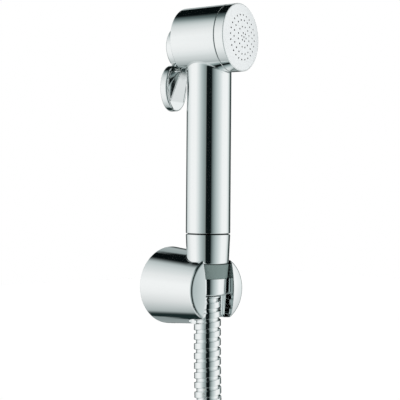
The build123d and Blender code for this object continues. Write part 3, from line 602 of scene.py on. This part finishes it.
# Studio
studio = {"floorHeight": -0.262, "floorSize": 3.0, "floorLift": 0.04}
floorMesh = bmesh.new()
bmesh.ops.create_grid(floorMesh, x_segments=1, y_segments=1, size=studio["floorSize"],
                      matrix=Matrix.Translation((0, 0, studio["floorHeight"])))


def studioPaper():
    # Plain white paper: it takes the object's soft shadow and is else as white to the eye as the wall behind
    paper, tree = newMaterial("studioPaper")
    sheet = addNode(tree, "ShaderNodeBsdfDiffuse", {"Color": (0.97, 0.97, 0.97, 1)})
    glow = addNode(tree, "ShaderNodeEmission", {"Color": (1, 1, 1, 1), "Strength": studio["floorLift"]})
    finishMaterial(tree, addNode(tree, "ShaderNodeAddShader", links={0: (sheet, 0), 1: (glow, 0)}))
    return paper


paper = studioPaper()
floorData = bpy.data.meshes.new("floor")
floorMesh.to_mesh(floorData)
floorMesh.free()
floorData.materials.append(paper)
floor = bpy.data.objects.new("floor", floorData)
bpy.context.scene.collection.objects.link(floor)
floor.visible_glossy = False


# A tent of white cloth with a dark gap at the camera. Its roof ends in the dark above the set, and behind the
# set hangs a dark flag with a grey panel in its middle. Bearings are degrees from the camera, plus to its
# right; heights are the upward part of a direction, from -1 to 1.
tentLook = {
    "walls": [(-180, "1c2827"), (-149, "2c3837"), (-139, "c4cccc"), (-128, "e4e9e9"),
              (-100, "fdfdfd"), (-70, "fdfdfd"), (-54, "e3e8e8"), (-40, "bdc8c8"), (-26, "9ba8a8"),
              (-15.5, "87918f"), (-12, "0c1415"), (13, "0c1415"), (18, "5f6b6b"), (26, "8a9696"),
              (40, "b8c3c3"), (57, "dae1e1"), (76, "fbfcfc"), (105, "ffffff"), (118, "eef2f2"),
              (128, "ccd5d4"), (139, "3c4847"), (180, "1c2827")],
    "roof": [(-1, "dce1e1"), (-0.8, "dbe0e0"), (-0.73, "dfe3e3"), (-0.65, "ebeeee"), (-0.5, "f7f8f8"),
             (-0.2, "ffffff"), (0.15, "ffffff"), (0.4, "f2f3f3"), (0.6, "dfe3e3"), (0.68, "cdd3d3"),
             (0.74, "b1bbbb"), (0.78, "8d9898"), (0.81, "657272"), (0.84, "4d5959"), (1, "2a3434")],
    "panel": "b2bbbb",
    "panelStart": (radians(135), radians(150)),
    "panelSpread": (0.2, 0.35),
    "flagHigh": "060c0d",
    "flagLow": "1c2a2a",
    "flagStart": (radians(117), radians(139)),
    "flagSlant": 1.2,  # how far the flag leans over as it rises, in radians
    "flagSlantFrom": 0.61,
    "panelCorner": radians(156),
    "panelEdge": (0.64, 0.66),
    "lowShade": 0.3,  # the cloth is in its own shade low down at the sides
}


def setStops(ramp, stops, low, high):
    points = ramp.color_ramp.elements
    while len(points) < len(stops):
        points.new(0.5)
    for point, (value, colour) in zip(points, stops):
        point.position = (value - low) / (high - low)
        point.color = hexColour(colour)


def studioWorld(look):
    world = bpy.data.worlds.new("studio")
    world.use_nodes = True
    bpy.context.scene.world = world
    tree = world.node_tree
    tree.nodes.clear()
    where = addNode(tree, "ShaderNodeTexCoord")
    turnedView = addNode(tree, "ShaderNodeMapping",
                         {"vector_type": "POINT", "Rotation": (0, 0, radians(90 - camera["azimuth"]))},
                         {"Vector": (where, "Generated")})
    parts = addNode(tree, "ShaderNodeSeparateXYZ", links={"Vector": (turnedView, 0)})
    bearing = addNode(tree, "ShaderNodeMath", {"operation": "ARCTAN2"}, {0: (parts, "Y"), 1: (parts, "X")})
    sideways = addNode(tree, "ShaderNodeMath", {"operation": "ABSOLUTE"}, {0: (bearing, 0)})
    height = addNode(tree, "ShaderNodeMath", {"operation": "ABSOLUTE"}, {0: (parts, "Z")})

    # the cloth
    allRound = addNode(tree, "ShaderNodeMapRange", {"From Min": -pi, "From Max": pi}, {"Value": (bearing, 0)})
    walls = addNode(tree, "ShaderNodeValToRGB", links={"Fac": (allRound, 0)})
    setStops(walls, look["walls"], -180, 180)
    upDown = addNode(tree, "ShaderNodeMapRange", {"From Min": -1, "From Max": 1}, {"Value": (parts, "Z")})
    roof = addNode(tree, "ShaderNodeValToRGB", links={"Fac": (upDown, 0)})
    setStops(roof, look["roof"], -1, 1)
    panelSide = addNode(tree, "ShaderNodeMapRange",
                        {"From Min": look["panelStart"][0], "From Max": look["panelStart"][1]},
                        {"Value": (sideways, 0)})
    panelHeight = addNode(tree, "ShaderNodeMapRange",
                          {"From Min": look["panelSpread"][0], "From Max": look["panelSpread"][1]},
                          {"Value": (height, 0)})
    panelPart = addNode(tree, "ShaderNodeMath", {"operation": "MULTIPLY"}, {0: (panelSide, 0), 1: (panelHeight, 0)})
    withPanel = addNode(tree, "ShaderNodeMix", {"data_type": "RGBA", 7: hexColour(look["panel"])},
                        {0: (panelPart, 0), 6: (walls, 0)})
    cloth = addNode(tree, "ShaderNodeMix", {"data_type": "RGBA", "blend_type": "MULTIPLY", 0: 1.0},
                    {6: (withPanel, 2), 7: (roof, 0)})

    # the flag, and the shade low down
    aboveLean = addNode(tree, "ShaderNodeMath", {"operation": "MAXIMUM", 1: look["flagSlantFrom"]},
                        {0: (parts, "Z")})
    leaning = addNode(tree, "ShaderNodeMath", {"operation": "MULTIPLY_ADD", 1: look["flagSlant"]},
                      {0: (aboveLean, 0), 2: (sideways, 0)})
    leanAtStart = look["flagSlant"] * (look["flagSlantFrom"] + 0.08)
    flagSide = addNode(tree, "ShaderNodeMapRange",
                       {"interpolation_type": "SMOOTHSTEP", "From Min": look["flagStart"][0] + leanAtStart,
                        "From Max": look["flagStart"][1] + leanAtStart}, {"Value": (leaning, 0)})
    beyondCorner = addNode(tree, "ShaderNodeMath", {"operation": "MAXIMUM", 1: look["panelCorner"]},
                           {0: (sideways, 0)})
    cornered = addNode(tree, "ShaderNodeMath", {"operation": "MULTIPLY_ADD", 1: 0.315},
                       {0: (beyondCorner, 0), 2: (height, 0)})
    cornerAtStart = 0.315 * look["panelCorner"]
    outsidePanel = addNode(tree, "ShaderNodeMapRange",
                           {"From Min": look["panelEdge"][0] + cornerAtStart,
                            "From Max": look["panelEdge"][1] + cornerAtStart}, {"Value": (cornered, 0)})
    flag = addNode(tree, "ShaderNodeMath", {"operation": "MULTIPLY"}, {0: (flagSide, 0), 1: (outsidePanel, 0)})
    shadeSide = addNode(tree, "ShaderNodeMapRange", {"From Min": radians(85), "From Max": radians(130)},
                        {"Value": (sideways, 0)})
    shadeLow = addNode(tree, "ShaderNodeMapRange", {"From Min": 0, "From Max": -0.4, "To Max": look["lowShade"]},
                       {"Value": (parts, "Z")})
    shade = addNode(tree, "ShaderNodeMath", {"operation": "MULTIPLY"}, {0: (shadeSide, 0), 1: (shadeLow, 0)})
    dark = addNode(tree, "ShaderNodeMath", {"operation": "MAXIMUM"}, {0: (flag, 0), 1: (shade, 0)})
    lowFlag = addNode(tree, "ShaderNodeMapRange", {"From Min": 0.5, "From Max": -0.5}, {"Value": (parts, "Z")})
    flagColour = addNode(tree, "ShaderNodeMix",
                         {"data_type": "RGBA", 6: hexColour(look["flagHigh"]), 7: hexColour(look["flagLow"])},
                         {0: (lowFlag, 0)})
    seen = addNode(tree, "ShaderNodeMix", {"data_type": "RGBA"},
                   {0: (dark, 0), 6: (cloth, 2), 7: (flagColour, 2)})

    # the eye and matt surfaces see plain white
    lightPath = addNode(tree, "ShaderNodeLightPath")
    reflected = addNode(tree, "ShaderNodeBackground", {"Strength": 1.0}, {"Color": (seen, 2)})
    plain = addNode(tree, "ShaderNodeBackground", {"Color": (1, 1, 1, 1), "Strength": 1.0})
    mixed = addNode(tree, "ShaderNodeMixShader",
                    links={0: (lightPath, "Is Glossy Ray"), 1: (plain, 0), 2: (reflected, 0)})
    addNode(tree, "ShaderNodeOutputWorld", links={"Surface": (mixed, 0)})


studioWorld(tentLook)
bpy.context.scene.view_settings.view_transform = "Standard"
print("studio set")
